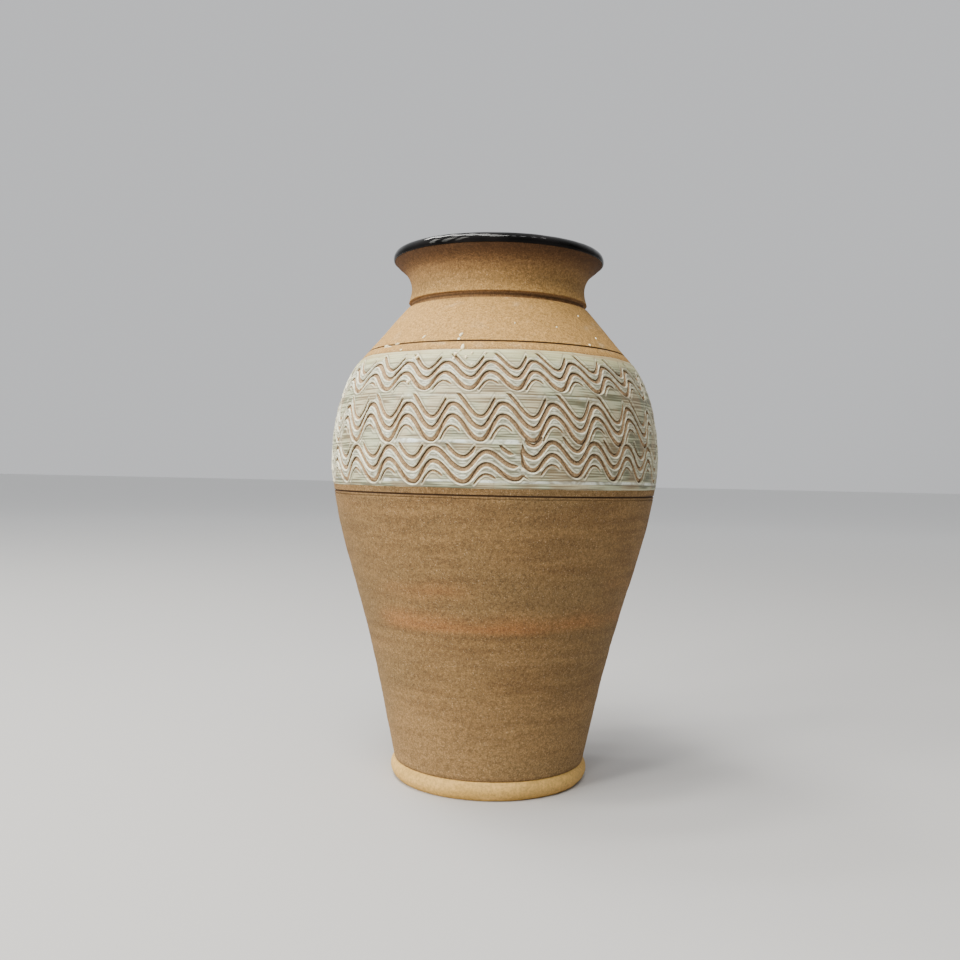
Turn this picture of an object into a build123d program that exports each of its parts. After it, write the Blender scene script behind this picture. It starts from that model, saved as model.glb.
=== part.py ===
from build123d import *
import os

# A wheel-thrown stoneware vase, baluster shaped, with a slipped and combed band round its belly.
# Millimetres. +Z is up, and the origin is the centre of the circle that the foot stands on.
# Every outline is drawn as (radius, height) on the XZ plane and turned about the Z axis.

# Overall
HEIGHT = 250.0
WALL = 5.6
FLOOR_TOP = 10.0

# Foot: a rounded roll of smooth clay under the edge of the floor
FOOT_HEIGHT = 8.6
FOOT_TOP_RADIUS = 44.9
FOOT_BULGE = (47.0, 4.2)
FOOT_STAND_RADIUS = 44.6
FOOT_EDGE_HEIGHT = 0.7
FOOT_INNER_RADIUS = 36.0
FOOT_INNER_CORNER = 1.2
RECESS_HEIGHT = 2.0

# Outside of the clay, from the top of the foot to the turned line above the band
BODY_OUTLINE = [
    (45.3, FOOT_HEIGHT),
    (50.0, 30.0),
    (56.8, 60.0),
    (65.1, 90.0),
    (73.4, 120.0),
    (77.7, 150.0),
    (75.9, 170.0),
    (70.5, 188.0),
    (61.8, 200.8),
]
SHOULDER_TOP = (43.7, 222.4)

# Skins: slip on the band, glaze on the rim and inside
SLIP = 0.4
SLIP_LOW = 138.2
SLIP_HIGH = 197.2
GLAZE = 0.4
RIM_GLAZE_LOW = 245.2
LINER_TOP = 210.0

# Neck and flared rim, whose lip is a round bead of clay
NECK_OUTLINE = [
    (42.9, 225.7),
    (41.7, 232.8),
    (43.5, 238.8),
]
LIP_RADIUS = 3.0
RIM_RADIUS = 50.6
LIP_CENTRE = (RIM_RADIUS - GLAZE - LIP_RADIUS, HEIGHT - GLAZE - LIP_RADIUS)

# Turned lines in the outside, at the joints between the thrown sections
LOWER_LINE = (76.4, 135.4)
SECOND_LINE = (76.2, 134.1)
UPPER_LINE = BODY_OUTLINE[-1]
LINE_WIDTH = 0.9
SECOND_LINE_WIDTH = 0.6
NECK_GROOVE_LOW = 223.2
NECK_GROOVE_HIGH = 225.2
NECK_GROOVE_RADIUS = 41.4

# Each joint is flat, with a tongue of the upper section let into the lower one at mid wall
TONGUE_HEIGHT = 2.0
TONGUE_HALF_WIDTH = 1.4
LOWER_JOINT = (73.6, LOWER_LINE[1])
UPPER_JOINT = (58.0, UPPER_LINE[1])
NECK_JOINT = (38.8, 224.2)
BEYOND = 120.0

# The outside of the wall is three curves, run from the foot upwards
EIGHTH_TURN = 0.5**0.5
LIP_START = (LIP_CENTRE[0] + LIP_RADIUS * EIGHTH_TURN, LIP_CENTRE[1] - LIP_RADIUS * EIGHTH_TURN)
body_curve = Spline(*BODY_OUTLINE)
shoulder_curve = Line(BODY_OUTLINE[-1], SHOULDER_TOP)
neck_curve = Spline(*NECK_OUTLINE, LIP_START, tangents=[(-0.3, 1), (1, 1)])

# The shares of those curves' runs at which the inside is set in from them
CORNER_SHARE = 0.07
BODY_SHARES = (0.2, 0.35, 0.5, 0.65, 0.75, 0.85, 0.95)
SHOULDER_SHARE = 0.45
NECK_SHARES = (0.2, 0.5, 0.8)
SLIP_SHARES = (0.54, 0.59, 0.64, 0.69, 0.74, 0.79, 0.84, 0.89, 0.94, 1.0)


def inset(curve, share, depth):
    """The point at a share of a curve's run and a depth inside it, or outside if negative."""
    point = curve @ share
    along = curve % share
    return (point.X - depth * along.Y, point.Y + depth * along.X)


def outside():
    """The whole pot, filled to the axis, with the neck's groove and the turned lines."""
    with BuildSketch() as shape:
        with BuildLine():
            lip = TangentArc(LIP_START, (LIP_CENTRE[0], HEIGHT - GLAZE), tangent=(1, 1))
            Polyline(
                lip @ 1,
                (0, HEIGHT - GLAZE),
                (0, RECESS_HEIGHT),
                (FOOT_INNER_RADIUS, RECESS_HEIGHT),
                (FOOT_INNER_RADIUS, FOOT_HEIGHT),
                BODY_OUTLINE[0],
            )
            add(body_curve)
            add(shoulder_curve)
            Polyline(
                SHOULDER_TOP,
                (NECK_GROOVE_RADIUS, NECK_GROOVE_LOW),
                (NECK_GROOVE_RADIUS, NECK_GROOVE_HIGH),
                NECK_OUTLINE[0],
            )
            add(neck_curve)
        make_face()
        for place, width in (
            (LOWER_LINE, LINE_WIDTH),
            (SECOND_LINE, SECOND_LINE_WIDTH),
            (UPPER_LINE, LINE_WIDTH),
        ):
            side = width * EIGHTH_TURN
            with Locations(place):
                Rectangle(side, side, rotation=45, mode=Mode.SUBTRACT)
    return shape.sketch


def cavity(depth):
    """The hollow, up to the top of the lip, with its side a depth inside the clay's outside."""
    lip_radius = LIP_RADIUS + depth - WALL
    floor = FLOOR_TOP + depth - WALL
    lowest = inset(body_curve, CORNER_SHARE, depth)
    along = body_curve % CORNER_SHARE
    corner_radius = (lowest[1] - floor) / (1 - along.X)
    corner_start = (lowest[0] - corner_radius * along.Y, floor)
    wall = [lowest]
    wall.extend(inset(body_curve, share, depth) for share in BODY_SHARES)
    wall.append(inset(shoulder_curve, SHOULDER_SHARE, depth))
    wall.extend(inset(neck_curve, share, depth) for share in NECK_SHARES)
    wall.append((LIP_CENTRE[0] - lip_radius * EIGHTH_TURN, LIP_CENTRE[1] + lip_radius * EIGHTH_TURN))
    with BuildSketch() as shape:
        with BuildLine():
            side = Spline(*wall, tangents=[(along.X, along.Y), (1, 1)])
            lip = TangentArc(side @ 1, (LIP_CENTRE[0], LIP_CENTRE[1] + lip_radius), tangent=(1, 1))
            Polyline(lip @ 1, (0, LIP_CENTRE[1] + lip_radius), (0, floor), corner_start)
            TangentArc(corner_start, side @ 0, tangent=(1, 0))
        make_face()
    return shape.sketch


def level(height):
    """A level line from the axis outwards."""
    return [(0, height), (BEYOND, height)]


def across(joint):
    """The line of a luted joint from the axis outwards, with its tongue pointing down."""
    middle, height = joint
    return [
        (0, height),
        (middle - TONGUE_HALF_WIDTH, height),
        (middle, height - TONGUE_HEIGHT),
        (middle + TONGUE_HALF_WIDTH, height),
        (BEYOND, height),
    ]


def between(low_line, high_line):
    """The space between two lines, each run outwards from the axis."""
    with BuildSketch() as shape:
        with BuildLine():
            Polyline(*low_line, *reversed(high_line), close=True)
        make_face()
    return shape.sketch


whole_outside = outside()
bare_cavity = cavity(WALL)
glazed_cavity = cavity(WALL + GLAZE)
with BuildSketch() as clay:
    add(whole_outside)
    add(bare_cavity, mode=Mode.SUBTRACT)

lower_zone = between(level(0), across(LOWER_JOINT))
band_zone = between(across(LOWER_JOINT), across(UPPER_JOINT))
shoulder_zone = between(across(UPPER_JOINT), across(NECK_JOINT))
neck_zone = between(across(NECK_JOINT), level(HEIGHT))
slip_zone = between(level(SLIP_LOW), level(SLIP_HIGH))
liner_zone = between(level(0), level(LINER_TOP))
rim_zone = between(level(LINER_TOP), level(HEIGHT))

os.makedirs("parts", exist_ok=True)

# Foot ring: the smooth roll that the vase stands on, luted under the floor's edge
with BuildPart() as foot_ring:
    with BuildSketch(Plane.XZ):
        with BuildLine():
            bulge = ThreePointArc(
                (FOOT_STAND_RADIUS + FOOT_EDGE_HEIGHT, FOOT_EDGE_HEIGHT),
                FOOT_BULGE,
                (FOOT_TOP_RADIUS, FOOT_HEIGHT),
            )
            Polyline(
                bulge @ 1,
                (FOOT_INNER_RADIUS, FOOT_HEIGHT),
                (FOOT_INNER_RADIUS, FOOT_INNER_CORNER),
                (FOOT_INNER_RADIUS + FOOT_INNER_CORNER, 0),
                (FOOT_STAND_RADIUS, 0),
                bulge @ 0,
            )
        make_face()
    revolve(axis=Axis.Z)
foot_ring.part.label = "foot_ring"
export_step(foot_ring.part, "parts/foot_ring.step")

# Lower body: the floor and the wall up to the turned line under the band
with BuildPart() as lower_body:
    with BuildSketch(Plane.XZ):
        add(clay.sketch)
        add(lower_zone, mode=Mode.INTERSECT)
    revolve(axis=Axis.Z)
lower_body.part.label = "lower_body"
export_step(lower_body.part, "parts/lower_body.step")

# Band wall: the widest part of the belly, which carries the slipped and combed band
with BuildPart() as band_wall:
    with BuildSketch(Plane.XZ):
        add(clay.sketch)
        add(band_zone, mode=Mode.INTERSECT)
    revolve(axis=Axis.Z)
band_wall.part.label = "band_wall"
export_step(band_wall.part, "parts/band_wall.step")

# Upper shoulder: the bare clay cone from the band to the neck's groove
with BuildPart() as upper_shoulder:
    with BuildSketch(Plane.XZ):
        add(clay.sketch)
        add(shoulder_zone, mode=Mode.INTERSECT)
    revolve(axis=Axis.Z)
upper_shoulder.part.label = "upper_shoulder"
export_step(upper_shoulder.part, "parts/upper_shoulder.step")

# Neck collar: the neck and the flared rim
with BuildPart() as neck_collar:
    with BuildSketch(Plane.XZ):
        add(clay.sketch)
        add(neck_zone, mode=Mode.INTERSECT)
    revolve(axis=Axis.Z)
neck_collar.part.label = "neck_collar"
export_step(neck_collar.part, "parts/neck_collar.step")

# Slip band: the coat of pale slip laid over the band wall
with BuildPart() as slip_band:
    with BuildSketch(Plane.XZ):
        with BuildLine():
            skin = Spline(*[inset(body_curve, share, -SLIP) for share in SLIP_SHARES])
            Polyline(skin @ 1, (0, (skin @ 1).Y), (0, (skin @ 0).Y), skin @ 0)
        make_face()
        add(whole_outside, mode=Mode.SUBTRACT)
        add(slip_zone, mode=Mode.INTERSECT)
    revolve(axis=Axis.Z)
slip_band.part.label = "slip_band"
export_step(slip_band.part, "parts/slip_band.step")

# Liner glaze: the coat on the floor and the inside of the belly
with BuildPart() as liner_glaze:
    with BuildSketch(Plane.XZ):
        add(bare_cavity)
        add(glazed_cavity, mode=Mode.SUBTRACT)
        add(liner_zone, mode=Mode.INTERSECT)
    revolve(axis=Axis.Z)
liner_glaze.part.label = "liner_glaze"
export_step(liner_glaze.part, "parts/liner_glaze.step")

# Rim glaze: the black coat inside the neck and over the lip
with BuildPart() as rim_glaze:
    with BuildSketch(Plane.XZ):
        add(bare_cavity)
        with Locations(LIP_CENTRE):
            Circle(LIP_RADIUS + GLAZE)
        with Locations((LIP_CENTRE[0] + BEYOND / 2, RIM_GLAZE_LOW - HEIGHT / 2)):
            Rectangle(BEYOND, HEIGHT, mode=Mode.SUBTRACT)
        add(clay.sketch, mode=Mode.SUBTRACT)
        add(glazed_cavity, mode=Mode.SUBTRACT)
        add(rim_zone, mode=Mode.INTERSECT)
    revolve(axis=Axis.Z)
rim_glaze.part.label = "rim_glaze"
export_step(rim_glaze.part, "parts/rim_glaze.step")
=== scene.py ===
import math

import bpy
import numpy as np
from mathutils import Matrix, Vector


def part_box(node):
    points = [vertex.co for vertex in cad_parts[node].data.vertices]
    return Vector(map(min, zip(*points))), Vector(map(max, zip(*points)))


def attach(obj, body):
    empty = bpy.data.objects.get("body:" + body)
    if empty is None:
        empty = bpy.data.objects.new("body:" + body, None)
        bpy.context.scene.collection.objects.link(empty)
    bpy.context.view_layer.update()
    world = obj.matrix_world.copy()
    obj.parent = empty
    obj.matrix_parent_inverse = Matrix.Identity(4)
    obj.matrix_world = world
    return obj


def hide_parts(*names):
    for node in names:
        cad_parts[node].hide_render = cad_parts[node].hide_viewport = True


# A wheel-thrown stoneware vase with a slipped and combed band round its belly.
# Metres, +Z up. Angles are in degrees round the axis: 0 faces the camera and 90 is on the camera's right.

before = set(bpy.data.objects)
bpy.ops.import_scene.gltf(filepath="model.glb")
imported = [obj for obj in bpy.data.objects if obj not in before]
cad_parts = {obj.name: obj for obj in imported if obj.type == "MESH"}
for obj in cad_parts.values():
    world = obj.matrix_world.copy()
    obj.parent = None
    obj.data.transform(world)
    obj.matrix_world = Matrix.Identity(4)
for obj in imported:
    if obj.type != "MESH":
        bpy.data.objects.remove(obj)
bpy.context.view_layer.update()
MM = 0.001

# How finely the turned pieces are meshed
CORNER_DEGREES = 26
FINE_STEP = 0.5 * MM
BAND_STEP = 0.27 * MM
COARSE_STEP = 2.5 * MM
BODY_COLUMNS = 384
BAND_COLUMNS = 1680


# ---------------------------------------------------------------- camera

CAMERA_PLACE = Vector((0, -0.4798, 0.1450))
CAMERA_LENS = 37.08
CAMERA_YAW = -0.0142
CAMERA_PITCH = -0.0077
CAMERA_ROLL = 0.0210


def add_camera():
    """The camera a little above the vase's middle, close to it, almost level and rolled slightly."""
    yaw = Matrix.Rotation(-CAMERA_YAW, 4, "Z")
    pitch = Matrix.Rotation(math.pi / 2 + CAMERA_PITCH, 4, "X")
    roll = Matrix.Rotation(CAMERA_ROLL, 4, "Z")
    data = bpy.data.cameras.new("camera")
    data.lens = CAMERA_LENS
    data.clip_start = 0.01
    camera = bpy.data.objects.new("camera", data)
    bpy.context.scene.collection.objects.link(camera)
    camera.matrix_world = Matrix.Translation(CAMERA_PLACE) @ yaw @ pitch @ roll
    bpy.context.scene.camera = camera


# ---------------------------------------------------------------- smooth steps and seeded relief


def smooth(x):
    """0 below 0 and 1 above 1, with an even curve between."""
    x = np.clip(x, 0, 1)
    return x * x * (3 - 2 * x)


def bell(x):
    """1 at 0, falling away on both sides."""
    return np.exp(-x * x)


def lattice(seed, height, angle, rise, arc):
    """Random relief from -1 to 1, in cells of a rise in metres and an arc in degrees, with no seam."""
    columns = max(1, round(360 / arc))
    up = height / rise
    across = (angle % 360) / 360 * columns
    row = np.floor(up).astype(int)
    column = np.floor(across).astype(int)
    table = np.random.default_rng(seed).uniform(-1, 1, (int(row.max()) + 2, columns))
    share_up = smooth(up - row)
    share_across = smooth(across - column)

    def level(i):
        left = table[row + i, column % columns]
        right = table[row + i, (column + 1) % columns]
        return left + (right - left) * share_across

    return level(0) + (level(1) - level(0)) * share_up


def wander(seed, angle, waves):
    """A smooth random line round the pot, from -1 to 1, with a few waves and no seam."""
    phases = np.random.default_rng(seed).uniform(0, 2 * math.pi, waves)
    total = 0
    for count, phase in enumerate(phases, start=1):
        total = total + np.sin(np.radians(angle) * count + phase)
    return total / math.sqrt(2 * waves)


# ---------------------------------------------------------------- outlines read from the CAD pieces


def section(node):
    """A turned CAD piece's outline as (radius, height) points, anticlockwise, from the meridian of its mesh.

    A piece that reaches the axis gives an open line from axis to axis, and any other a closed loop."""
    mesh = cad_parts[node].data
    key_of = {}
    place = {}
    for vertex in mesh.vertices:
        if abs(vertex.co.y) < 1e-6 and vertex.co.x > 0:
            key = (round(vertex.co.x, 5), round(vertex.co.z, 5))
            key_of[vertex.index] = key
            place[key] = (vertex.co.x, vertex.co.z)
    beside = {key: set() for key in place}
    for edge in mesh.edges:
        ends = [key_of.get(index) for index in edge.vertices]
        if None not in ends and ends[0] != ends[1]:
            beside[ends[0]].add(ends[1])
            beside[ends[1]].add(ends[0])
    loose = [key for key in beside if len(beside[key]) == 1]
    path = [min(loose or beside, key=lambda key: (key[1], key[0]))]
    while True:
        onward = [key for key in beside[path[-1]] if key not in path]
        if not onward:
            break
        path.append(onward[0])
    points = [place[key] for key in path]
    if loose:
        points = [(0, points[0][1])] + points + [(0, points[-1][1])]
    points = np.array(points)
    following = np.roll(points, -1, axis=0)
    area = np.sum(points[:, 0] * following[:, 1] - following[:, 0] * points[:, 1])
    return points if area > 0 else points[::-1]


def refine(points, fine_step, coarse_step):
    """More points on an outline: smooth curves through the CAD's points, its corners kept.

    The steps are fine where the outline rises, which is the outside of a clay wall, and coarse elsewhere."""
    is_closed = points[0][0] > 0
    count = len(points)
    edges = np.roll(points, -1, axis=0) - points
    lengths = np.hypot(*edges.T)
    runs = edges / np.maximum(lengths, 1e-9)[:, None]
    result = []
    for i in range(count if is_closed else count - 1):
        length = lengths[i]
        tangents = []
        for before in (i - 1, i):
            after = (before + 1) % count
            turned = math.degrees(math.acos(np.clip(np.dot(runs[before], runs[after]), -1, 1)))
            at_end = not is_closed and (after == 0 or after == count - 1)
            if turned > CORNER_DEGREES or at_end:
                tangents.append(runs[i])
            else:
                whole = lengths[before] + lengths[after]
                tangents.append((runs[before] * lengths[after] + runs[after] * lengths[before]) / whole)
        step = fine_step if runs[i][1] > 0.02 else coarse_step
        pieces = max(1, math.ceil(length / step))
        for t in np.arange(pieces) / pieces:
            result.append(
                points[i] * (1 + 2 * t) * (1 - t) ** 2
                + points[(i + 1) % count] * t * t * (3 - 2 * t)
                + tangents[0] * length * t * (1 - t) ** 2
                - tangents[1] * length * t * t * (1 - t)
            )
    if not is_closed:
        result.append(points[-1])
    return np.array(result)


def normals_of(outline):
    """The outward normal at each point of an anticlockwise outline."""
    along = np.roll(outline, -1, axis=0) - np.roll(outline, 1, axis=0)
    if outline[0][0] == 0:
        along[0] = outline[1] - outline[0]
        along[-1] = outline[-1] - outline[-2]
    along /= np.maximum(np.hypot(*along.T), 1e-9)[:, None]
    return np.column_stack([along[:, 1], -along[:, 0]])


# ---------------------------------------------------------------- turning an outline into a mesh


class Turned:
    """A piece turned from an outline, as a grid of rows (outline points) and columns (angles)."""

    def __init__(self, outline, columns):
        self.outline = outline
        self.columns = columns
        self.normals = normals_of(outline)
        self.is_open = outline[0][0] == 0
        self.height = outline[:, 1][:, None]
        self.angle = (np.arange(columns) * 360 / columns)[None, :]
        self.outer = smooth((self.normals[:, 0] - 0.1) / 0.3)[:, None]
        self.relief = np.zeros((len(outline), columns))
        self.contours = None
        self.attributes = {}

    def build(self, name, slot, material, node=None):
        """Makes the mesh with its map and its attributes, and lets it stand for a CAD node."""
        rows = self.outline[:, :, None] + self.normals[:, :, None] * self.relief[:, None, :]
        radians = np.radians(self.angle[0])
        points = np.stack(
            [rows[:, 0] * np.sin(radians), -rows[:, 0] * np.cos(radians), rows[:, 1]], axis=-1
        )
        first = 1 if self.is_open else 0
        last = len(points) - 1 if self.is_open else len(points)
        vertices = points[first:last].reshape(-1, 3)
        strips, v_of_row = self.strips()
        quads, corners = self.walls(first, last, strips, v_of_row)
        if self.contours is not None:
            level = self.contours[first:last].reshape(-1)[quads]
            crossed = np.abs(level[:, 0] - level[:, 2]) > np.abs(level[:, 1] - level[:, 3])
            quads[crossed] = np.roll(quads[crossed], -1, axis=1)
            corners[crossed] = np.roll(corners[crossed], -1, axis=1)
        loops = [quads.reshape(-1)]
        sizes = [np.full(len(quads), 4)]
        layers = [corners.reshape(-1, 2)]
        if self.is_open:
            vertices = np.concatenate([vertices, points[[0, -1], 0]])
            for is_end in (False, True):
                fan, corners = self.cap(is_end, last - first, strips, v_of_row)
                loops.append(fan.reshape(-1))
                sizes.append(np.full(len(fan), 3))
                layers.append(corners.reshape(-1, 2))
        mesh = mesh_from(name, vertices, np.concatenate(loops), np.concatenate(sizes))
        layer = mesh.uv_layers.new(name="OFBake")
        layer.data.foreach_set("uv", np.concatenate(layers).astype(np.float32).ravel())
        for title, values in self.attributes.items():
            values = np.broadcast_to(values, self.relief.shape)[first:last].ravel()
            padded = np.zeros(len(vertices), np.float32)
            padded[: len(values)] = values
            mesh.attributes.new(title, "FLOAT", "POINT").data.foreach_set("value", padded)
        place(name, mesh, slot, material, node)

    def walls(self, first, last, strips, v_of_row):
        """The quads between the rings from first to last, and their corners on the map."""
        ring_count = last - first
        columns = np.arange(self.columns)
        beside = (columns + 1) % self.columns
        strip, left, right = self.sides(strips)
        faces = []
        corners = []
        for ring in range(ring_count - 1 if self.is_open else ring_count):
            below = ring * self.columns
            above = (ring + 1) % ring_count * self.columns
            faces.append(np.column_stack([below + columns, below + beside, above + beside, above + columns]))
            low = v_of_row[first + ring]
            high = v_of_row[first + ring + 1]
            places = [(left, low), (right, low), (right, high), (left, high)]
            corners.append(np.stack([np.column_stack([u, (strip + v) / strips]) for u, v in places], axis=1))
        return np.concatenate(faces), np.concatenate(corners)

    def cap(self, is_end, ring_count, strips, v_of_row):
        """The fan of triangles round the axis at the outline's start or end, and their corners on the map."""
        columns = np.arange(self.columns)
        beside = (columns + 1) % self.columns
        strip, left, right = self.sides(strips)
        pole = ring_count * self.columns + is_end
        edge = (ring_count - 1) * self.columns if is_end else 0
        around = [edge + columns, edge + beside]
        rim, centre = (v_of_row[ring_count], v_of_row[-1]) if is_end else (v_of_row[1], v_of_row[0])
        middle = np.column_stack([(left + right) / 2, (strip + centre) / strips])
        ends = [np.column_stack([side, (strip + rim) / strips]) for side in (left, right)]
        if not is_end:
            around.reverse()
            ends.reverse()
        fan = np.column_stack([np.full(self.columns, pole), *around])
        return fan, np.stack([middle, *ends], axis=1)

    def sides(self, strips):
        """The strip of the map that each column lies in, and the places of its two sides along the strip."""
        start = self.angle[0] / (360 / strips)
        strip = np.floor(start + 1e-6)
        left = start - strip
        return strip, left, left + 1 / self.columns * strips

    def strips(self):
        """How many strips the skin is cut into for its map, and each row's place across a strip."""
        steps = np.hypot(*(np.roll(self.outline, -1, axis=0) - self.outline).T)
        if self.is_open:
            steps = steps[:-1]
        rising = np.roll(self.height[:, 0], -1)[: len(steps)] > self.height[: len(steps), 0]
        weights = steps * np.where(rising, 1, 0.2)
        around = 2 * math.pi * self.outline[:, 0].max()
        strips = max(1, round(math.sqrt(around / weights.sum())))
        v_of_row = np.concatenate([[0], np.cumsum(weights)]) / weights.sum()
        return strips, 0.01 + 0.98 * v_of_row


def mesh_from(name, points, loops, sizes):
    """A smooth-shaded mesh from its points, its faces' corners and their sizes."""
    mesh = bpy.data.meshes.new(name)
    mesh.vertices.add(len(points))
    mesh.vertices.foreach_set("co", points.astype(np.float32).ravel())
    mesh.loops.add(len(loops))
    mesh.loops.foreach_set("vertex_index", loops.astype(np.int32))
    mesh.polygons.add(len(sizes))
    starts = np.concatenate([[0], np.cumsum(sizes)[:-1]])
    mesh.polygons.foreach_set("loop_start", starts.astype(np.int32))
    mesh.polygons.foreach_set("use_smooth", np.ones(len(sizes), bool))
    mesh.update(calc_edges=True)
    return mesh


def place(name, mesh, slot, material, node=None):
    """Puts a mesh in the scene as a piece that rides on the pot."""
    piece = bpy.data.objects.new(name, mesh)
    bpy.context.scene.collection.objects.link(piece)
    mesh.materials.append(material)
    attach(piece, "root")
    if node:
        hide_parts(node)


# ---------------------------------------------------------------- the surface that throwing leaves


def throwing_rings(height, angle):
    """The low rings that the potter's fingers leave, climbing slightly as the wheel turns."""
    climb = height + angle / 360 * 3 * MM
    rings = 0.10 * MM * lattice(11, climb, angle, 5.0 * MM, 90)
    rings = rings + 0.04 * MM * lattice(12, climb, angle, 1.6 * MM, 60)
    sway = 0.15 * MM * lattice(13, height, angle, 40 * MM, 60)
    return rings + sway


def grit(height, angle, arc_rise):
    """The sandy skin of the clay."""
    return 0.025 * MM * lattice(14, height, angle, 0.9 * MM, arc_rise)


# ---------------------------------------------------------------- the comb's passes

# Heights in mm above the foot and angles in degrees. Each pass of the comb has:
# - start, turn: where it begins, and how many degrees it runs to the right
# - level, swing: the middle height of the second tooth's line, and how far it swings up and down
# - lift: how much higher the pass begins before it settles to its level
# - crest, wave, fall: where a crest lies, how long a wave is, and the share of a wave that runs downhill
# - drift, lengthen: how far the crests wander off even spacing, and how much the waves grow longer
# - teeth: how far each tooth's line lies above the second tooth's
# - rock: the wave at which the top tooth lifts off, and how much later it does so going down
# - leads, tails: how many degrees after the start each tooth bites, and before the end it lifts
# - swoops: how far above its line each tooth comes in
# - seed: for its small irregularities
COMB_PASSES = (
    {
        "level": 187.8, "swing": 3.55, "teeth": (3.85, 0, -4.5, -8.1),
        "crest": -2.0, "wave": 15.2, "drift": 5.2, "lengthen": 0, "fall": 0.59,
        "start": -188, "turn": 361, "lift": 0, "seed": 560, "rock": (0.72, 0.45),
        "leads": (1, 0, 0.4, 3), "tails": (4, 1, 0, 5), "swoops": (0, 0, 0, 0),
    },
    {
        "level": 168.4, "swing": 5.2, "teeth": (4.5, 0, -4.95, -9.2),
        "crest": 2.45, "wave": 15.84, "drift": 0, "lengthen": 0, "fall": 0.59,
        "start": -154, "turn": 361, "lift": 0, "seed": 619, "rock": (0.72, 0.45),
        "leads": (0.5, 0, 0, 2), "tails": (3, 1, 0, 6), "swoops": (1.5, 3, 2, 0),
    },
    {
        "level": 150.4, "swing": 4.65, "teeth": (4.95, 0, -5.2, -9.3),
        "crest": 17.75, "wave": 14.7, "drift": 0, "lengthen": 9.4e-6, "fall": 0.575,
        "start": 7.6, "turn": 362.8, "lift": 4.6, "seed": 657, "rock": (0.3, 0.2),
        "leads": (1.2, 0.3, 0, 1.0), "tails": (3.4, 2.0, 0, 7), "swoops": (3.5, 4.2, 6.5, 0),
    },
)
TOOTH_WIDTHS = (1.75, 2.15, 2.1, 1.1)
TOOTH_DEPTHS = (0.75, 0.95, 0.95, 0.5)
NUDGE = 0.25


def comb_line(comb, tooth, angle, run):
    """A tooth's line, so many degrees after its start: its height in mm, and its wave from -1 to 1."""
    left = comb["turn"] - run
    past_crest = run + comb["start"] - comb["crest"]
    jitter = 0.35 * wander(comb["seed"], angle, 9)
    phase = (past_crest + jitter + comb["drift"] * (1 - np.cos(np.radians(past_crest)))) / comb["wave"]
    phase = (phase - comb["lengthen"] * past_crest**2) % 1
    fall = comb["fall"]
    wave = np.where(
        phase < fall,
        np.cos(math.pi * phase / fall),
        np.cos(math.pi * (1 + (phase - fall) / (1 - fall))),
    )
    swing = comb["swing"] * (1 - 0.36 * np.exp(-run / 16)) * (1 - 0.46 * np.exp(-np.abs(left - 2) / 14))
    swing = swing * (1 + 0.07 * wander(comb["seed"] + 10, angle, 7))
    level = comb["level"] + comb["lift"] * np.exp(-run / 60) + 0.3 * wander(comb["seed"] + 20, angle, 6)
    level = level + comb["teeth"][tooth] + comb["swoops"][tooth] * np.exp(-run / 0.7)
    return level + swing * wave, wave


def tooth_shows(tooth, wave, is_falling, rock):
    """How far a tooth is down, from 0 to 1.

    The comb rocks as it swings: its top tooth lifts off at crests, and its bottom tooth at troughs."""
    if tooth == 0:
        return smooth((rock[0] + rock[1] * is_falling - wave) / 0.5)
    if tooth == 3:
        return smooth((wave + 0.45 - 0.7 * is_falling) / 0.5)
    return np.ones_like(wave)


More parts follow.
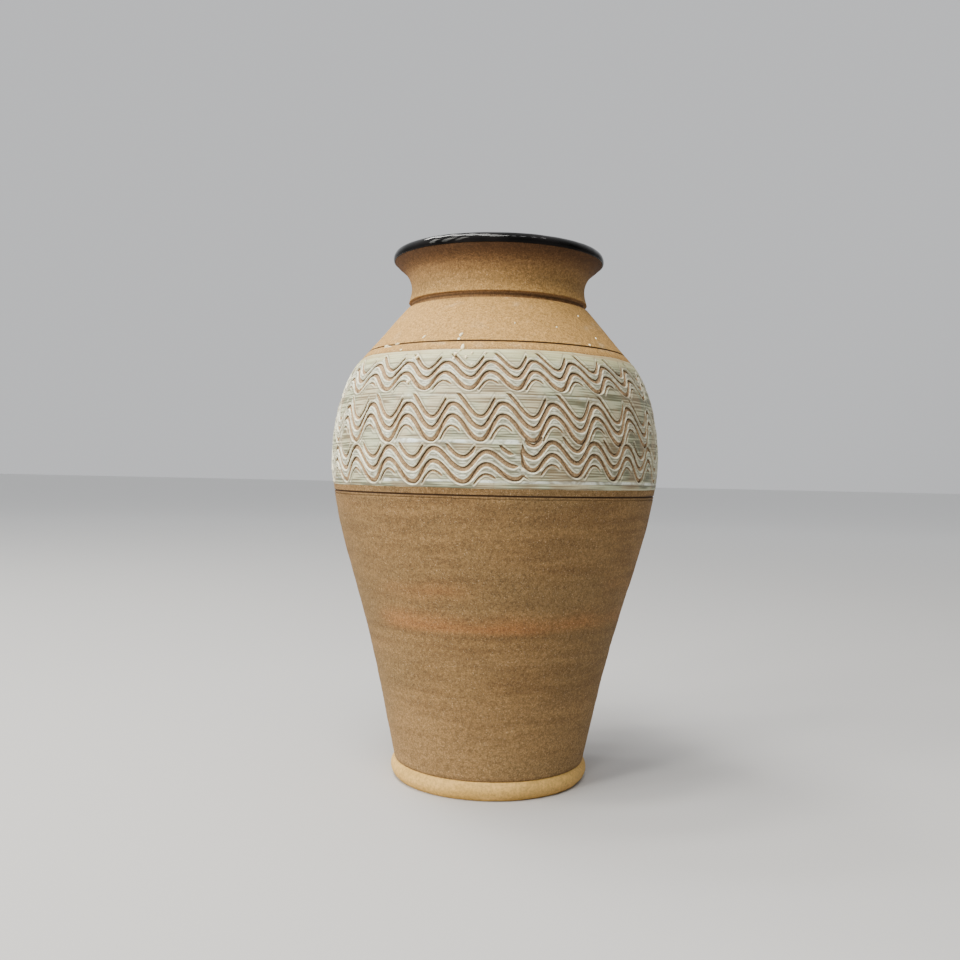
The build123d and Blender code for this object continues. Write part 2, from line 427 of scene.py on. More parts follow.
def combing(height, angle, radius, slope):
    """What the comb does at each point of the band: arrays in mm, or from 0 to 1.

    gap is how far a point is from the nearest groove's edge, and depth how deep the clay is cut.
    groove is the tone of the cut, and line its dark edge, partly where the tooth cut deeper and partly
    painted shade on the groove's wall away from the light. burr is the tone of the slip's crests beside the
    cut, the hollows beyond them carry painted shade, and swath is where the comb went."""
    height = height / MM
    stretch = np.sqrt(1 + slope**2)
    shape = np.broadcast_shapes(height.shape, angle.shape)
    depth, cut_and_shade_line, burr, shaded_hollow, swath = (np.zeros(shape) for _ in range(5))
    gap = np.full(shape, 9.0)
    for comb in COMB_PASSES:
        for lap in (0, 1):
            run = (angle - comb["start"]) % 360 + 360 * lap
            left = comb["turn"] - run
            lines = []
            for tooth in range(4):
                line, wave = comb_line(comb, tooth, angle, run)
                ahead = comb_line(comb, tooth, angle + NUDGE, run + NUDGE)[0]
                behind = comb_line(comb, tooth, angle - NUDGE, run - NUDGE)[0]
                steepness = (ahead - behind) / math.radians(2 * NUDGE)
                lean = np.sqrt(1 + (steepness * stretch * MM / radius) ** 2)
                is_falling = smooth(-steepness / 30)
                shows = tooth_shows(tooth, wave, is_falling, comb["rock"])
                shows = np.maximum(shows, bell(run / 4) * (comb["lift"] > 0))
                lines.append((line, shows))
                bites = smooth((run - comb["leads"][tooth]) / 0.7)
                press = bites * smooth((left - comb["tails"][tooth]) / 2.6)
                shows = shows * press
                half = (TOOTH_WIDTHS[tooth] / 2 + 0.35) * shows - 0.35
                across = (height - line) * stretch / lean
                edge = np.abs(across) - half
                gap = np.minimum(gap, edge)
                x = across / np.maximum(half, 0.1)
                bite = np.clip(1 - x**4, 0, 1) * shows
                side = 0.64 * half * (1 if tooth < 2 else np.clip(1.6 * wave + 0.5, -1, 1))
                keel = bell((across - side) / 0.4)
                depth = np.maximum(depth, TOOTH_DEPTHS[tooth] * bite * (0.5 + 0.5 * keel))
                # The dark edge: partly the keel's deeper cut, partly painted shade on the groove's upper
                # wall, weaker where the groove falls
                dark = shows * (1 - 0.35 * is_falling) * np.minimum(1.7 * bell((across - side) / 0.24), 1)
                cut_and_shade_line = np.maximum(cut_and_shade_line, dark)
                outside_bend = 1 + 0.4 * np.sign(x) * wave
                burr = np.maximum(burr, shows * bell((edge - 0.24) / 0.22) * outside_bend)
                # Painted shade in the hollow beyond each burr, which is also sunk slightly
                shaded_hollow = np.maximum(shaded_hollow, shows * bell((edge - 0.8) / 0.28))
            top = lines[1][0] + 1.5 + (lines[0][0] - lines[1][0] - 1.2) * lines[0][1]
            bottom = lines[2][0] - 1.6 + (lines[3][0] - lines[2][0] + 1.3) * lines[3][1]
            inside = smooth((top - height) / 0.9) * smooth((height - bottom) / 0.9)
            spent = 1 - 0.6 * np.exp(-np.abs(left) / 9)
            swath = np.maximum(swath, inside * spent * smooth(run / 1.5) * smooth(left / 3))
    groove = smooth(0.5 - gap / 0.3)
    return {
        "gap": gap,
        "depth": depth,
        "groove": groove,
        "line": cut_and_shade_line,
        "burr": burr,
        "shaded_hollow": shaded_hollow,
        "swath": swath,
    }


# Bars of thick slip left between the comb's passes: the middle height and half the thickness in mm,
# the first and last angle, and how strong the bar is
SLIP_BARS = (
    (157.7, 0.65, -38, 8, 1.0),
    (141.4, 0.5, -38, 96, 0.75),
    (176.6, 0.45, -40, 40, 0.25),
    (157.3, 0.5, 118, 164, 0.9),
    (141.5, 0.5, 130, 215, 0.8),
    (176.5, 0.45, 150, 262, 0.25),
    (157.6, 0.5, 232, 285, 0.9),
    (141.4, 0.45, 262, 300, 0.7),
)
SLIP_CLEARANCE = 0.12
BRUSH_PITCH = 1.1

# Where the brush ran dry or was full, and, in the row at 60 degrees, painted shade on the pot's shaded right
# side given as thinner slip: the middle and the reach in degrees, and the share of slip that is left off,
# which is below zero where the brush was full
SLIP_SPARSE_AND_SHADE = (
    # Painted shade: thinner, darker slip on the pot's shaded right side
    (60, 34, 0.55),
    (-30, 30, -0.3),
    (110, 30, -0.2),
    (178, 25, 0.3),
    (220, 22, -0.2),
    (272, 20, 0.2),
)


def bars_between(height, angle):
    """The bars of thick slip, from 0 to 1."""
    bars = 0
    for middle, half, first, last, strength in SLIP_BARS:
        from_first = (angle - first) % 360
        ends = smooth(from_first / 1.5) * smooth((last - first - from_first) / 1.5)
        line = middle + 0.15 * wander(round(middle), angle, 12)
        half_here = half * (1 + 0.35 * wander(round(middle) + 1, angle, 20))
        bars = np.maximum(bars, strength * ends * smooth((half_here - np.abs(height - line)) / 0.4 + 0.5))
    return bars


def slip_lack_and_shade(angle):
    """The share of slip that is missing round the pot."""
    lack_and_shade = 0
    for middle, reach, share in SLIP_SPARSE_AND_SHADE:
        lack_and_shade = lack_and_shade + share * bell(((angle - middle + 180) % 360 - 180) / reach)
    # The share of slip that the brush left off round the pot, which on the pot's right is painted shade.
    return lack_and_shade


def slip_coat(turned, comb, low, high):
    """How thick the slip is over the clay, in mm, and the tones that its material reads.

    The tones are thick and bars for the slip that was pushed up, stripe for the paler of the brush marks,
    burr for the crests along the grooves, and the last for painted shade in the hollows beside them and
    between brush marks."""
    height = turned.height / MM
    angle = turned.angle
    streak = lattice(31, turned.height, angle, 0.8 * MM, 14)
    fine_streak = lattice(32, turned.height, angle, 0.42 * MM, 5)
    blotch = lattice(33, turned.height, angle, 4 * MM, 6)
    brushed = np.sin(2 * math.pi * (height + 0.8 * wander(37, angle, 5)) / BRUSH_PITCH)
    patchy = 0.62 + 0.38 * smooth(0.5 + 0.8 * streak + 0.6 * blotch)
    bars = bars_between(height, angle) * (0.3 + 0.7 * smooth((comb["gap"] - 0.5) / 1.2)) * patchy
    # Thinner slip where the brush ran dry, and on the pot's right as painted shade
    lack_and_shade = slip_lack_and_shade(angle)
    stripe = smooth(0.5 - 0.3 * lack_and_shade + 0.5 * brushed + 1.0 * streak + 0.55 * fine_streak)
    ridge_middle = smooth((comb["gap"] - 0.55) / 0.6)
    off_groove = smooth((comb["gap"] - 0.2) / 0.5)
    furrow = off_groove * comb["swath"] * smooth(1.3 - 1.7 * stripe - 0.5 * lack_and_shade)
    ridge = comb["swath"] * (0.82 + 0.18 * blotch) * (1 - 0.9 * ridge_middle * smooth(1.2 - 1.6 * stripe))
    thick = np.clip(np.maximum(ridge, bars) * (1 - lack_and_shade), 0, 1)
    stripe = stripe * (1 - 0.5 * np.maximum(lack_and_shade, 0))
    burr = comb["burr"] * (0.75 + 0.5 * lattice(36, turned.height, angle, 1.2 * MM, 1.1))
    coat = 0.16 + 0.13 * thick + 0.12 * stripe * (1 - 0.6 * thick)
    coat = coat + 0.26 * burr - 0.06 * comb["shaded_hollow"]
    low_edge = low / MM + 0.25 + 0.12 * wander(34, angle, 14)
    high_edge = high / MM - 0.3 + 0.25 * wander(35, angle, 18)
    from_edges = np.minimum((height - low_edge) * 0.5, (high_edge - height) * 0.35)
    coat = np.minimum(coat, np.minimum(from_edges, 1.2 * (comb["gap"] + 0.1)))
    coat = np.maximum(coat, -SLIP_CLEARANCE)
    return coat, {
        "thick": thick,
        "bars": bars,
        "stripe": stripe,
        "burr": burr * np.clip(1 - lack_and_shade, 0, 1),
        "shaded_hollow": np.maximum(comb["shaded_hollow"], 0.75 * furrow),
    }


# ---------------------------------------------------------------- materials


class Shader:
    """A material and short ways to add nodes to it."""

    def __init__(self, name):
        self.material = bpy.data.materials.new(name)
        self.material.use_nodes = True
        self.tree = self.material.node_tree
        self.surface = self.tree.nodes["Principled BSDF"]
        self.point = self.add("ShaderNodeTexCoord").outputs["Object"]

    def add(self, kind, **settings):
        node = self.tree.nodes.new(kind)
        for key, value in settings.items():
            setattr(node, key, value)
        return node

    def link(self, source, target):
        """Joins an output to an input, or sets the input if the source is a plain value."""
        if isinstance(source, bpy.types.NodeSocket):
            self.tree.links.new(source, target)
        else:
            target.default_value = source

    def noise(self, scale, detail=2.0, stretch=(1, 1, 1), roughness=0.5):
        """Noise from 0 to 1 with so many cells in a metre, stretched along the axes."""
        scaled = self.add("ShaderNodeVectorMath", operation="MULTIPLY")
        self.link(self.point, scaled.inputs[0])
        scaled.inputs[1].default_value = stretch
        texture = self.add("ShaderNodeTexNoise")
        self.link(scaled.outputs[0], texture.inputs["Vector"])
        texture.inputs["Scale"].default_value = scale
        texture.inputs["Detail"].default_value = detail
        texture.inputs["Roughness"].default_value = roughness
        return texture.outputs["Fac"]

    def bands(self, scale, detail=2.0):
        """Noise that depends on height, and only slightly on the place round the pot."""
        return self.noise(scale, detail, stretch=(0.04, 0.04, 1))

    def between(self, value, low, high, first=0.0, last=1.0):
        """A value brought from low..high to first..last, softly."""
        node = self.add("ShaderNodeMapRange", interpolation_type="SMOOTHSTEP")
        self.link(value, node.inputs["Value"])
        node.inputs["From Min"].default_value = low
        node.inputs["From Max"].default_value = high
        node.inputs["To Min"].default_value = first
        node.inputs["To Max"].default_value = last
        return node.outputs["Result"]

    def scale(self, colour, factor):
        """A colour made darker or brighter by a factor."""
        node = self.add("ShaderNodeVectorMath", operation="SCALE")
        self.link(colour, node.inputs[0])
        self.link(factor, node.inputs["Scale"])
        return node.outputs[0]

    def maths(self, operation, a, b):
        node = self.add("ShaderNodeMath", operation=operation)
        self.link(a, node.inputs[0])
        self.link(b, node.inputs[1])
        return node.outputs[0]

    def share(self, value, part):
        """A part of a value."""
        return self.maths("MULTIPLY", value, part)

    def mix(self, share, a, b):
        """Colour a, turning to colour b as the share goes from 0 to 1."""
        node = self.add("ShaderNodeMix", data_type="RGBA")
        self.link(share, node.inputs[0])
        self.link((*a, 1) if isinstance(a, tuple) else a, node.inputs[6])
        self.link((*b, 1) if isinstance(b, tuple) else b, node.inputs[7])
        return node.outputs[2]

    def attribute(self, name):
        return self.add("ShaderNodeAttribute", attribute_name=name).outputs["Fac"]

    def height(self):
        """The height above the foot."""
        split = self.add("ShaderNodeSeparateXYZ")
        self.link(self.point, split.inputs[0])
        return split.outputs["Z"]

    def finish(self, colour, roughness, bump, distance, strength=1.0, specular=0.3):
        """Joins the colour, the roughness and the bump to the surface."""
        self.link(colour, self.surface.inputs["Base Color"])
        self.link(roughness, self.surface.inputs["Roughness"])
        self.link(specular, self.surface.inputs["Specular IOR Level"])
        node = self.add("ShaderNodeBump")
        node.inputs["Distance"].default_value = distance
        node.inputs["Strength"].default_value = strength
        self.link(bump, node.inputs["Height"])
        self.link(node.outputs["Normal"], self.surface.inputs["Normal"])
        return self.material


CLAY = (0.225, 0.131, 0.051)
CLAY_DARK = (0.165, 0.093, 0.036)
CLAY_OLIVE = (0.185, 0.118, 0.050)
CLAY_PALE = (0.450, 0.285, 0.125)
CLAY_RED = (0.300, 0.130, 0.044)
SHOULDER_CLAY = (0.425, 0.241, 0.072)
FILM_CLAY = (0.56, 0.42, 0.24)
SPECK_CLAY = (0.60, 0.45, 0.28)
NECK_CLAY = (0.155, 0.077, 0.038)
# Under the lip: partly a stain, partly painted shade
LIP_STAIN_AND_SHADE = (0.045, 0.020, 0.009)
GROOVE_CLAY = (0.370, 0.245, 0.135)
# The dark edge of the comb's grooves: partly a deeper cut, partly painted shade
CUT_AND_SHADE_CLAY = (0.040, 0.026, 0.015)
LINE_CLAY = (0.055, 0.027, 0.012)

# Heights in metres over which the clay's tone changes, from none of it to all of it, and the groove's line
PALER_BASE = (0.07, 0.0)
SHOULDER_STARTS = (0.1955, 0.1990)
SHOULDER_ENDS = (0.232, 0.222)
NECK_DARKENS = (0.229, 0.2435)
LIP_DARKENS = (0.2355, 0.2445)
NECK_GROOVE_STARTS = (0.2222, 0.2230)
NECK_GROOVE_ENDS = (0.2262, 0.2252)
NECK_GROOVE_LINE = 0.2244

# The kiln's reddish flashes: the heights where each starts, is strongest and ends, and its strength
FLASHES = ((0.0745, 0.0785, 0.088, 0.75), (0.088, 0.094, 0.101, 0.4))


def sandy_clay(shader, patch):
    """The colour of the thrown clay, streaked, and paler towards the foot."""
    streak = shader.noise(300, 2, (0.12, 0.12, 1))
    band = shader.bands(55, 3)
    colour = shader.mix(shader.between(streak, 0.3, 0.7), CLAY_DARK, CLAY)
    colour = shader.mix(shader.share(shader.between(patch, 0.4, 0.65), 0.55), colour, CLAY_OLIVE)
    colour = shader.mix(shader.share(shader.between(band, 0.5, 0.75), 0.22), colour, CLAY_PALE)
    return shader.mix(shader.share(shader.between(shader.height(), *PALER_BASE), 0.3), colour, CLAY_PALE)


def flashed(shader, colour, patch):
    """The clay with its reddish flashes."""
    height = shader.height()
    for low, middle, high, strength in FLASHES:
        rising = shader.between(height, low, middle)
        flash = shader.maths("MULTIPLY", rising, shader.between(height, high, middle))
        flash = shader.maths("MULTIPLY", flash, shader.between(patch, 0.62, 0.38))
        colour = shader.mix(shader.share(flash, strength), colour, CLAY_RED)
    return colour


def with_shoulder(shader, colour):
    """The clay with the paler shoulder and the film of slip water on it."""
    height = shader.height()
    above = shader.between(height, *SHOULDER_STARTS)
    shoulder = shader.maths("MULTIPLY", above, shader.between(height, *SHOULDER_ENDS))
    colour = shader.mix(shader.share(above, 0.35), colour, SHOULDER_CLAY)
    colour = shader.mix(shoulder, colour, SHOULDER_CLAY)
    film = shader.noise(120, 3, (0.8, 0.8, 1.4))
    filmed = shader.maths("MULTIPLY", shoulder, shader.between(film, 0.56, 0.72))
    return shader.mix(shader.share(filmed, 0.3), colour, FILM_CLAY)


def with_neck(shader, colour):
    """The clay with the neck that darkens towards the lip, partly a stain and partly painted shade under the
    lip's flare, and the tone of the neck's groove.
    """
    height = shader.height()
    # Darker towards the lip: partly a stain, partly painted shade under the lip's flare
    colour = shader.mix(shader.share(shader.between(height, *NECK_DARKENS), 0.6), colour, NECK_CLAY)
    colour = shader.mix(shader.share(shader.between(height, *LIP_DARKENS), 0.85), colour, LIP_STAIN_AND_SHADE)
    starts = shader.between(height, *NECK_GROOVE_STARTS)
    groove = shader.maths("MULTIPLY", starts, shader.between(height, *NECK_GROOVE_ENDS))
    return shader.mix(shader.share(groove, 0.75), colour, NECK_CLAY)


def with_turned_lines(shader, colour):
    """The clay with a dark line in the neck's groove and at the joints, and a shadow over the foot."""
    height = shader.height()
    off_line = shader.maths("ABSOLUTE", shader.maths("SUBTRACT", height, NECK_GROOVE_LINE), 0)
    colour = shader.mix(shader.between(off_line, 0.0008, 0.0002, 0.0, 0.65), colour, LINE_CLAY)
    foot_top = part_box("foot_ring")[1].z
    crease = shader.between(height, foot_top + 0.0022, foot_top)
    colour = shader.mix(shader.share(crease, 0.3), colour, LINE_CLAY)
    for node in ("lower_body", "band_wall"):
        off_joint = shader.maths("ABSOLUTE", shader.maths("SUBTRACT", height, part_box(node)[1].z), 0)
        colour = shader.mix(shader.between(off_joint, 0.0006, 0.0002), colour, LINE_CLAY)
    return colour


def clay_material():
    """Coarse sandy stoneware, streaked by throwing, with reddish flashes low on the body."""
    shader = Shader("stoneware_clay")
    grain = shader.noise(1700, 2, roughness=0.7)
    sand = shader.noise(760, 3, roughness=0.65)
    speck = shader.noise(2300, 1)
    patch = shader.noise(24, 2, (0.6, 0.6, 1.5))
    colour = flashed(shader, sandy_clay(shader, patch), patch)
    colour = with_shoulder(shader, colour)
    colour = shader.mix(shader.share(shader.between(speck, 0.62, 0.74), 0.4), colour, SPECK_CLAY)
    colour = with_neck(shader, colour)
    colour = shader.mix(shader.share(shader.attribute("groove"), 0.85), colour, GROOVE_CLAY)
    colour = shader.scale(colour, shader.between(grain, 0.3, 0.7, 0.70, 1.31))
    colour = shader.scale(colour, shader.between(sand, 0.3, 0.7, 0.76, 1.22))
    # The dark edge of the comb's grooves: partly a deeper cut, partly painted shade on the wall away from the
    # light
    colour = shader.mix(shader.share(shader.attribute("line"), 0.9), colour, CUT_AND_SHADE_CLAY)
    colour = with_turned_lines(shader, colour)
    return shader.finish(colour, 0.85, grain, 0.00022, 0.7, specular=0.2)


FOOT_CLAY = (0.58, 0.350, 0.095)
FOOT_CLAY_PALE = (0.68, 0.420, 0.130)
FOOT_CLAY_DARK = (0.36, 0.22, 0.09)


def smooth_clay_material():
    """The sponged, paler clay of the foot."""
    shader = Shader("smooth_clay")
    cloud = shader.noise(90, 2, (0.4, 0.4, 2))
    grain = shader.noise(1500, 2)
    sand = shader.noise(700, 3, roughness=0.65)
    colour = shader.mix(shader.between(cloud, 0.3, 0.7), FOOT_CLAY, FOOT_CLAY_PALE)
    colour = shader.mix(shader.share(shader.between(grain, 0.52, 0.7), 0.4), colour, FOOT_CLAY_DARK)
    colour = shader.scale(colour, shader.between(sand, 0.3, 0.7, 0.80, 1.14))
    return shader.finish(colour, 0.75, sand, 0.0002, 0.5, specular=0.2)


# Thin slip in the dark and the pale brush marks, each over olive and over tan clay
THIN_OLIVE = (0.125, 0.125, 0.070)
THIN_TAN = (0.185, 0.135, 0.068)
STRIPE_OLIVE = (0.52, 0.53, 0.34)
STRIPE_TAN = (0.54, 0.48, 0.30)
TOP_SLIP = (0.60, 0.57, 0.29)
THICK_SLIP_GREY = (0.44, 0.47, 0.35)
THICK_SLIP = (0.95, 0.96, 0.76)
# Painted shade in the hollows beside the burrs and between brush marks
SHADED_HOLLOW_SLIP = (0.19, 0.17, 0.11)
BAR_SLIP = (0.86, 0.92, 0.84)
BURR_SLIP = (0.95, 0.88, 0.64)
SLIP_SPECK = (0.30, 0.23, 0.14)
TOP_SLIP_RISES = (0.190, 0.195)
TOP_SLIP_THINS = (0.1943, 0.1968)


def slip_material():
    """Pale slip: creamy where the comb pushed it up, olive and tan in brushed stripes where it is thin."""
    shader = Shader("pale_slip")
    height = shader.height()
    stripe = shader.attribute("stripe")
    grain = shader.noise(1400, 2)
    cloud = shader.noise(420, 3, (1, 1, 1.6), roughness=0.6)
    tan_patch = shader.between(shader.noise(75, 2, (1, 1, 0.7)), 0.42, 0.6)
    thin = shader.mix(tan_patch, THIN_OLIVE, THIN_TAN)
    thin = shader.mix(stripe, thin, shader.mix(tan_patch, STRIPE_OLIVE, STRIPE_TAN))
    thin = shader.mix(shader.share(shader.between(height, *TOP_SLIP_RISES), 0.72), thin, TOP_SLIP)
    thick = shader.mix(shader.between(cloud, 0.38, 0.62), THICK_SLIP_GREY, THICK_SLIP)
    colour = shader.mix(shader.attribute("thick"), thin, thick)
    # Painted shade in the hollows beside the burrs and between brush marks
    colour = shader.mix(shader.share(shader.attribute("shaded_hollow"), 0.8), colour, SHADED_HOLLOW_SLIP)
    colour = shader.mix(shader.attribute("bars"), colour, BAR_SLIP)
    colour = shader.mix(shader.share(shader.attribute("burr"), 0.8), colour, BURR_SLIP)
    at_top = shader.between(height, *TOP_SLIP_THINS)
    bare = shader.maths("MULTIPLY", at_top, shader.maths("SUBTRACT", 1.0, stripe))
    colour = shader.mix(shader.share(bare, 0.7), colour, CLAY_PALE)
    colour = shader.mix(shader.share(shader.between(grain, 0.58, 0.72), 0.4), colour, SLIP_SPECK)
    return shader.finish(colour, 0.58, grain, 0.0001, 0.5, specular=0.6)


GLAZE_BLACK = (0.003, 0.003, 0.003)
GLAZE_SOFT_BLACK = (0.009, 0.008, 0.008)
GLAZE_EDGE = (0.17, 0.080, 0.050)


def glaze_material(name):
    """Glossy black glaze, slightly uneven, reddish where it thins to its edge and duller under the lip."""
    shader = Shader(name)
    flow = shader.noise(60, 2)
    colour = shader.mix(shader.between(flow, 0.3, 0.7), GLAZE_BLACK, GLAZE_SOFT_BLACK)
    colour = shader.mix(shader.share(shader.attribute("thin"), 0.85), colour, GLAZE_EDGE)
    shine = shader.maths("SUBTRACT", 0.24, shader.share(shader.attribute("under"), 0.2))
    return shader.finish(colour, 0.05, flow, 0.0004, 0.4, specular=shine)


# ---------------------------------------------------------------- the pieces


def throw_clay(node, material):
    """A plain thrown section of the wall."""
    turned = Turned(refine(section(node), FINE_STEP, COARSE_STEP), BODY_COLUMNS)
    arc = 360 / BODY_COLUMNS * 2
    turned.relief = turned.outer * (
        throwing_rings(turned.height, turned.angle) + grit(turned.height, turned.angle, arc)
    )
    turned.build(node + "_clay", "stoneware_clay", material, node)


def shape_foot(material):
    """The foot's roll, slightly uneven where it was sponged."""
    turned = Turned(refine(section("foot_ring"), FINE_STEP, COARSE_STEP), BODY_COLUMNS)
    sponged = 0.12 * MM * lattice(41, turned.height, turned.angle, 6 * MM, 14)
    turned.relief = turned.outer * sponged
    turned.build("foot_roll", "smooth_clay", material, "foot_ring")


def wall_slope(outline):
    """How far the outline moves outwards for each metre that it rises."""
    along = np.roll(outline, -1, axis=0) - np.roll(outline, 1, axis=0)
    rise = np.where(np.abs(along[:, 1]) < 1e-6, 1e-6, along[:, 1])
    return np.clip(along[:, 0] / rise, -1.5, 1.5)[:, None]


def comb_band(clay, slip):
    """The combed clay wall, and over it the skin of slip that the comb cut through."""
    outline = refine(section("band_wall"), BAND_STEP, COARSE_STEP)
    wall = Turned(outline, BAND_COLUMNS)
    comb = combing(wall.height, wall.angle, outline[:, 0][:, None], wall_slope(outline))
    drag = 1 + 0.25 * lattice(51, wall.height, wall.angle, 0.5 * MM, 3)
    arc = 360 / BAND_COLUMNS * 2
    rings = throwing_rings(wall.height, wall.angle)
    wall.relief = wall.outer * (
        rings + grit(wall.height, wall.angle, arc) - comb["depth"] * drag * MM
    )
    wall.attributes = {"groove": comb["groove"] * wall.outer, "line": comb["line"] * wall.outer}
    wall.contours = comb["depth"]
    wall.build("combed_wall_clay", "stoneware_clay", clay, "band_wall")

    low, high = (corner.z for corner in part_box("slip_band"))
    margin = 0.6 * MM
    is_outside = (wall.normals[:, 0] > 0.3) & (outline[:, 1] > low - margin) & (outline[:, 1] < high + margin)
    outside = outline[is_outside]
    backing = 1.4 * MM
    inside = (outside - normals_of_open(outside) * backing)[::-1][::8]
    skin = Turned(np.concatenate([outside, inside]), BAND_COLUMNS)
    skin.normals[: len(outside)] = normals_of_open(outside)
    skin.outer = (np.arange(len(skin.outline)) < len(outside)).astype(float)[:, None]
    comb = combing(skin.height, skin.angle, skin.outline[:, 0][:, None], wall_slope(skin.outline))
    coat, tones = slip_coat(skin, comb, low, high)
    drag = 1 + 0.25 * lattice(51, skin.height, skin.angle, 0.5 * MM, 3)
    rings = throwing_rings(skin.height, skin.angle)
    skin.relief = skin.outer * (rings + (coat - comb["depth"] * drag) * MM)
    skin.attributes = tones
    skin.contours = coat
    skin.build("combed_slip", "pale_slip", slip, "slip_band")


def normals_of_open(line):
    """The outward normals along a line that runs up the outside."""
    along = np.gradient(line, axis=0)
    along /= np.hypot(*along.T)[:, None]
    return np.column_stack([along[:, 1], -along[:, 0]])


def pour_glaze(node, name, slot, material):
    """A glaze coat, slightly uneven as it was poured."""
    turned = Turned(refine(section(node), FINE_STEP, FINE_STEP * 2), BODY_COLUMNS)
    turned.relief = turned.outer * (
        0.07 * MM * lattice(61, turned.height, turned.angle, 2.5 * MM, 9)
        + 0.03 * MM * lattice(62, turned.height, turned.angle, 1.2 * MM, 4)
    )
    outer_edge = turned.height[turned.outer > 0.5].min() + 0.2 * MM * wander(63, turned.angle, 9)
    above_edge = turned.height - outer_edge
    below_top = turned.height.max() - turned.height
    turned.attributes = {
        "thin": smooth(1.25 - above_edge / (1.2 * MM)) * turned.outer,
        "under": smooth((below_top - 1.8 * MM) / (2 * MM)) * turned.outer,
    }
    turned.build(name, slot, material, node)


# Splashes of slip: the angle and the height of the middle, the length, width and thickness in mm,
# and the lean in degrees
SPLASHES = (
    (-15.0, 203.6, 2.4, 1.2, 0.5, 62),
    (-15.4, 201.6, 1.3, 1.0, 0.4, 40),
    (-12.8, 197.8, 3.0, 1.6, 0.5, 84),
    (-13.6, 195.9, 1.4, 0.9, 0.4, 60),
    (-14.8, 194.4, 2.0, 1.3, 0.5, 60),
    (-15.2, 192.3, 1.5, 1.0, 0.5, 90),
    (-10.8, 193.0, 1.6, 1.1, 0.45, 80),
    (-8.8, 194.8, 1.5, 0.8, 0.4, 85),
    (-8.4, 189.6, 1.2, 0.9, 0.45, 30),
    (-4.0, 194.8, 1.2, 0.9, 0.4, 0),
    (-31.8, 203.3, 2.0, 0.9, 0.4, 50),
    (-30.0, 193.6, 2.5, 1.5, 0.45, 60),
    (-30.4, 182.5, 2.8, 1.2, 0.5, 35),
    (-53.0, 200.4, 4.2, 1.5, 0.45, -15),
    (-49.2, 200.2, 3.6, 0.9, 0.4, 5),
    (-45.6, 200.8, 2.6, 1.1, 0.4, 22),
    (-40.0, 197.6, 1.2, 0.9, 0.35, 0),
    (8.0, 209.5, 0.8, 0.6, 0.3, 0),
    (28.0, 208.9, 1.0, 0.7, 0.3, 30),
    (41.8, 201.8, 1.4, 0.8, 0.35, 70),
    (48.2, 216.4, 1.2, 0.8, 0.3, 40),
    (50.0, 205.8, 1.3, 0.8, 0.3, 60),
    (96.0, 204.5, 2.4, 1.2, 0.45, 55),
    (103.0, 198.2, 1.7, 1.2, 0.4, 0),
    (171.0, 206.0, 1.5, 1.0, 0.4, 70),
    (238.0, 203.5, 2.8, 1.1, 0.45, 20),
    (246.0, 196.0, 1.6, 1.3, 0.4, 0),
)


def clay_surface(height):
    """The radius of the clay's outside at a height."""
    points = []
    for node in ("lower_body", "band_wall", "upper_shoulder"):
        outline = refine(section(node), FINE_STEP, COARSE_STEP)
        points.append(outline[normals_of(outline)[:, 0] > 0.5])
    points = np.concatenate(points)
    points = points[np.argsort(points[:, 1])]
    return np.interp(height, points[:, 1], points[:, 0])


def dome(around, rings):
    """A closed dome: its points (reach, turn, level) and its faces, from rings of (reach, level) going up."""
    turns = np.arange(around) * 2 * math.pi / around
    rows = [[(reach, turn, level) for turn in turns] for reach, level in rings]
    points = np.concatenate([[(0, 0, rings[0][1])], *rows, [(0, 0, rings[-1][1])]])
    top = 1 + (len(rings) - 1) * around
    faces = []
    for i in range(around):
        j = (i + 1) % around
        faces.append((0, 1 + j, 1 + i))
        for low in range(1, top, around):
            high = low + around
            faces.append((low + i, low + j, high + j, high + i))
        faces.append((top + i, top + j, len(points) - 1))
    return points, faces


# Heights in mm between which a splash lies on slip, and how far it is lifted there and on bare clay
SLIP_BOTTOM = 139
SLIP_TOP = 197
LIFT_ON_SLIP = 0.3
LIFT_ON_CLAY = 0.05

# A splash's rings going up: the reach as a share of its size, and the level as a share of its thickness
SPLASH_PROFILE = ((1.0, -0.6), (1.0, 0.0), (0.9, 0.45), (0.66, 0.8), (0.35, 0.97))


def splash_slip(material):
    """Drops of slip that dried where they fell: low domes, sunk slightly into the wall."""
    shape, faces = dome(28, SPLASH_PROFILE)
    reach, turn, level = shape.T
    points = []
    loops = []
    for seed, (angle, height, length, width, thickness, lean) in enumerate(SPLASHES):
        blob = reach * (1 + 0.3 * wander(70 + seed, np.degrees(turn), 3))
        across = length / 2 * blob * np.cos(turn)
        along = width / 2 * blob * np.sin(turn)
        tilt = math.radians(lean)
        sideways = across * math.cos(tilt) - along * math.sin(tilt)
        upwards = across * math.sin(tilt) + along * math.cos(tilt)
        heights = (height + 0.8 * upwards) * MM
        radii = clay_surface(heights)
        slope = (clay_surface(heights + MM) - clay_surface(heights - MM)) / (2 * MM)
        stretch = np.sqrt(1 + slope**2)
        base = LIFT_ON_SLIP if SLIP_BOTTOM < height < SLIP_TOP else LIFT_ON_CLAY
        lift = (level * thickness + base) * MM
        angles = math.radians(angle) + sideways * MM / radii
        radii = radii + lift / stretch
        heights = heights - lift * slope / stretch
        first = seed * len(reach)
        points.append(np.column_stack([radii * np.sin(angles), -radii * np.cos(angles), heights]))
        loops.extend(first + corner for face in faces for corner in face)
    sizes = [len(face) for face in faces] * len(SPLASHES)
    mesh = mesh_from("slip_splashes", np.concatenate(points), np.array(loops), np.array(sizes))
    place("slip_splashes", mesh, "pale_slip", material)


SPLASH_CREAM = (0.95, 0.80, 0.48)
SPLASH_PALE = (1.0, 0.92, 0.66)


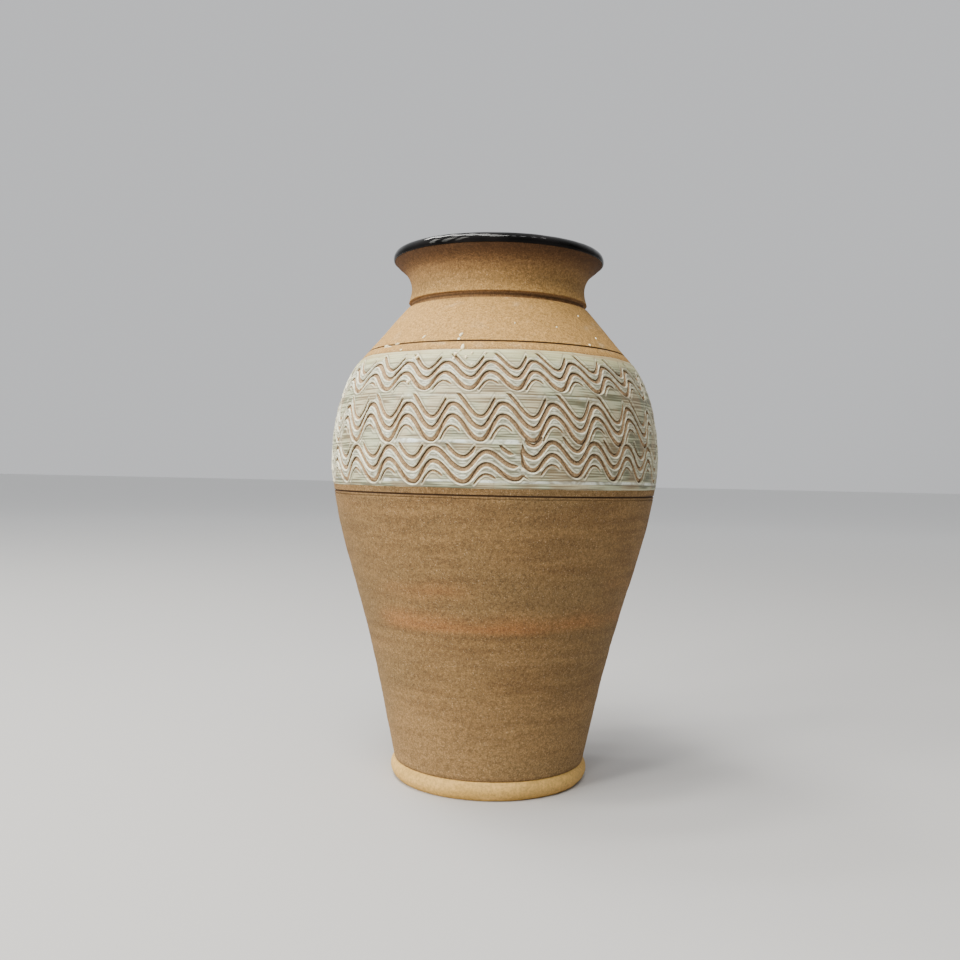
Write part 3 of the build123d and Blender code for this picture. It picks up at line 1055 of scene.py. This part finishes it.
def splash_material():
    """The creamy slip of the splashes."""
    shader = Shader("splashed_slip")
    cloud = shader.noise(500, 2)
    colour = shader.mix(shader.between(cloud, 0.35, 0.65), SPLASH_CREAM, SPLASH_PALE)
    return shader.finish(colour, 0.7, cloud, 0.0001, 0.4)


# ---------------------------------------------------------------- floor and light


FLOOR_NEAR = (0.50, 0.49, 0.48)
FLOOR_FAR = (0.9, 0.9, 0.89)
FLOOR_HALF = 12.0


def add_floor():
    """A plain pale floor under the pot."""
    shader = Shader("plain_floor")
    tone = shader.noise(6, 2)
    distance = shader.add("ShaderNodeVectorMath", operation="LENGTH")
    shader.link(shader.point, distance.inputs[0])
    far = shader.between(distance.outputs["Value"], 0.3, 2.5)
    colour = shader.mix(far, FLOOR_NEAR, FLOOR_FAR)
    material = shader.finish(colour, 0.7, tone, 0.0001, 0.1)
    corners = [(-FLOOR_HALF, -FLOOR_HALF, 0), (FLOOR_HALF, -FLOOR_HALF, 0)]
    corners += [(FLOOR_HALF, FLOOR_HALF, 0), (-FLOOR_HALF, FLOOR_HALF, 0)]
    mesh = mesh_from("floor", np.array(corners, float), np.arange(4), np.array([4]))
    mesh.materials.append(material)
    floor = bpy.data.objects.new("floor", mesh)
    bpy.context.scene.collection.objects.link(floor)


# The windows: the place, how many upright panes, the width and height, the share of the width that the panes
# fill, the power in watts and the colour. They all face LIGHT_TARGET.
WINDOWS = {
    "key": ((-0.95, -0.60, 0.65), 3, 1.0, 0.9, 0.5, 22, (1.0, 0.98, 0.91)),
    "top": ((-0.32, -0.15, 1.2), 6, 1.7, 0.34, 0.42, 27, (1.0, 0.99, 0.95)),
    "far": ((0.45, -0.5, 1.2), 4, 0.8, 0.1, 0.5, 1.5, (1, 1, 1)),
}
LIGHT_TARGET = (0, 0, 0.14)


def add_window(name, spot, panes, width, height, share, power, colour):
    """A soft window: upright panes with bars between them."""
    turn = (Vector(LIGHT_TARGET) - Vector(spot)).to_track_quat("-Z", "Y")
    for pane in range(panes):
        data = bpy.data.lights.new(f"{name}_{pane}", "AREA")
        data.shape = "RECTANGLE"
        data.size = width / panes * share
        data.size_y = height
        data.energy = power / panes
        data.color = colour
        lamp = bpy.data.objects.new(f"{name}_{pane}", data)
        bpy.context.scene.collection.objects.link(lamp)
        aside = (pane + 0.5) / panes - 0.5
        lamp.location = Vector(spot) + turn @ Vector((aside * width, 0, 0))
        lamp.rotation_euler = turn.to_euler()


ROOM_COLOUR = (0.86, 0.87, 0.89, 1)
ROOM_BRIGHT_SIDE = (-0.55, 0.60, 0.58)
ROOM_DIM = 0.075
ROOM_BRIGHT = 0.78


def add_room():
    """A pale room that is brighter behind the pot, on its left and above, and darker on the right."""
    world = bpy.data.worlds.new("room")
    world.use_nodes = True
    nodes = world.node_tree.nodes
    links = world.node_tree.links
    towards = nodes.new("ShaderNodeVectorMath")
    towards.operation = "DOT_PRODUCT"
    towards.inputs[1].default_value = ROOM_BRIGHT_SIDE
    strength = nodes.new("ShaderNodeMapRange")
    strength.interpolation_type = "SMOOTHSTEP"
    strength.inputs["From Min"].default_value = -0.7
    strength.inputs["From Max"].default_value = 0.5
    strength.inputs["To Min"].default_value = ROOM_DIM
    strength.inputs["To Max"].default_value = ROOM_BRIGHT
    links.new(nodes.new("ShaderNodeTexCoord").outputs["Generated"], towards.inputs[0])
    links.new(towards.outputs["Value"], strength.inputs["Value"])
    links.new(strength.outputs["Result"], nodes["Background"].inputs["Strength"])
    nodes["Background"].inputs["Color"].default_value = ROOM_COLOUR
    bpy.context.scene.world = world


def main():
    add_camera()
    clay = clay_material()
    for node in ("lower_body", "upper_shoulder", "neck_collar"):
        throw_clay(node, clay)
    shape_foot(smooth_clay_material())
    comb_band(clay, slip_material())
    pour_glaze("rim_glaze", "rim_glaze_coat", "black_glaze", glaze_material("black_glaze"))
    pour_glaze("liner_glaze", "liner_glaze_coat", "lining_glaze", glaze_material("lining_glaze"))
    splash_slip(splash_material())
    add_floor()
    for name, window in WINDOWS.items():
        add_window(name, *window)
    add_room()


main()
